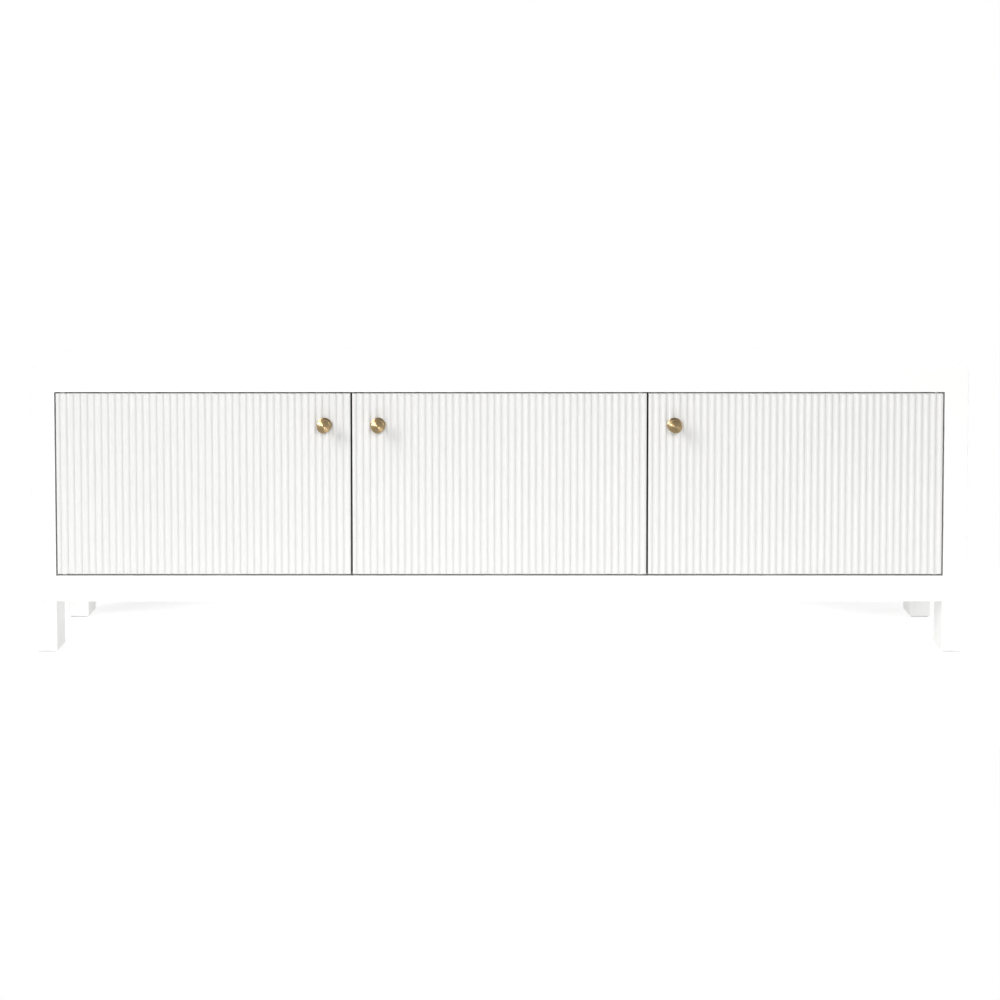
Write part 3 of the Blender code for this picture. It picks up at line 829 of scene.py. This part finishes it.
def smooth_ramp(tree, value, span, low, high):
    """Go smoothly from low to high as a value crosses a span."""
    return add_node(tree, "ShaderNodeMapRange", {
        "Value": value, "From Min": span[0], "From Max": span[1], "To Min": low, "To Max": high},
        interpolation_type="SMOOTHSTEP").outputs["Result"]


def add_floor():
    """A white oval floor, lit from within like a light table, more at its rim and under the stand."""
    shape = bmesh.new()
    bmesh.ops.create_circle(shape, cap_ends=True, segments=128, radius=1)
    bmesh.ops.scale(shape, vec=FLOOR_REACH, verts=shape.verts)
    mesh = to_mesh("floor", shape)
    material, tree, shader, place = principled("studio_floor", FLOOR_COLOUR, 0.9, {"Specular IOR Level": 0.0})
    shader.inputs["Emission Color"].default_value = (1, 1, 1, 1)
    out = add_node(tree, "ShaderNodeVectorMath", {0: place, 1: FLOOR_REACH}, operation="DIVIDE").outputs[0]
    away = add_node(tree, "ShaderNodeVectorMath", {0: out}, operation="LENGTH").outputs["Value"]
    rim = smooth_ramp(tree, away, FLOOR_EDGE_RAMP, FLOOR_GLOW, FLOOR_EDGE_GLOW)
    centre = smooth_ramp(tree, away, FLOOR_CENTRE_RAMP, FLOOR_CENTRE_GLOW, 0.0)
    glow = add_node(tree, "ShaderNodeMath", {0: rim, 1: centre}, operation="ADD").outputs["Value"]
    tree.links.new(glow, shader.inputs["Emission Strength"])
    mesh.materials.append(material)
    floor = bpy.data.objects.new("floor", mesh)
    floor.location.z = -FLOOR_DROP
    floor.visible_glossy = False
    bpy.context.scene.collection.objects.link(floor)


def main():
    add_camera()
    add_top()
    add_sides()
    add_bottom()
    add_partitions()
    add_boards()
    add_grommets()
    add_shelf_pins()
    add_legs()
    add_doors()
    add_world()
    add_floor()
    # The fill and the top light would glare on the knobs; the glint only draws the wedges on them
    add_softbox("key", -53, 30, 9.0, (2.2, 5.0), 330)
    add_softbox("fill", 6, 18, 8.0, (3.0, 2.0), 228).visible_glossy = False
    add_softbox("top", 0, 80, 3.2, (6.0, 2.0), 46).visible_glossy = False
    add_softbox("glint", -19, 4, 6.0, (1.4, 0.7), 42).visible_diffuse = False
    add_softbox("side", 90, 30, 6.0, (3.0, 3.0), 80)
    add_softbox("back", 180, 16, 7.0, (8.0, 2.5), 170)
    view = bpy.context.scene.view_settings
    view.view_transform = "Standard"
    view.gamma = VIEW_GAMMA


main()
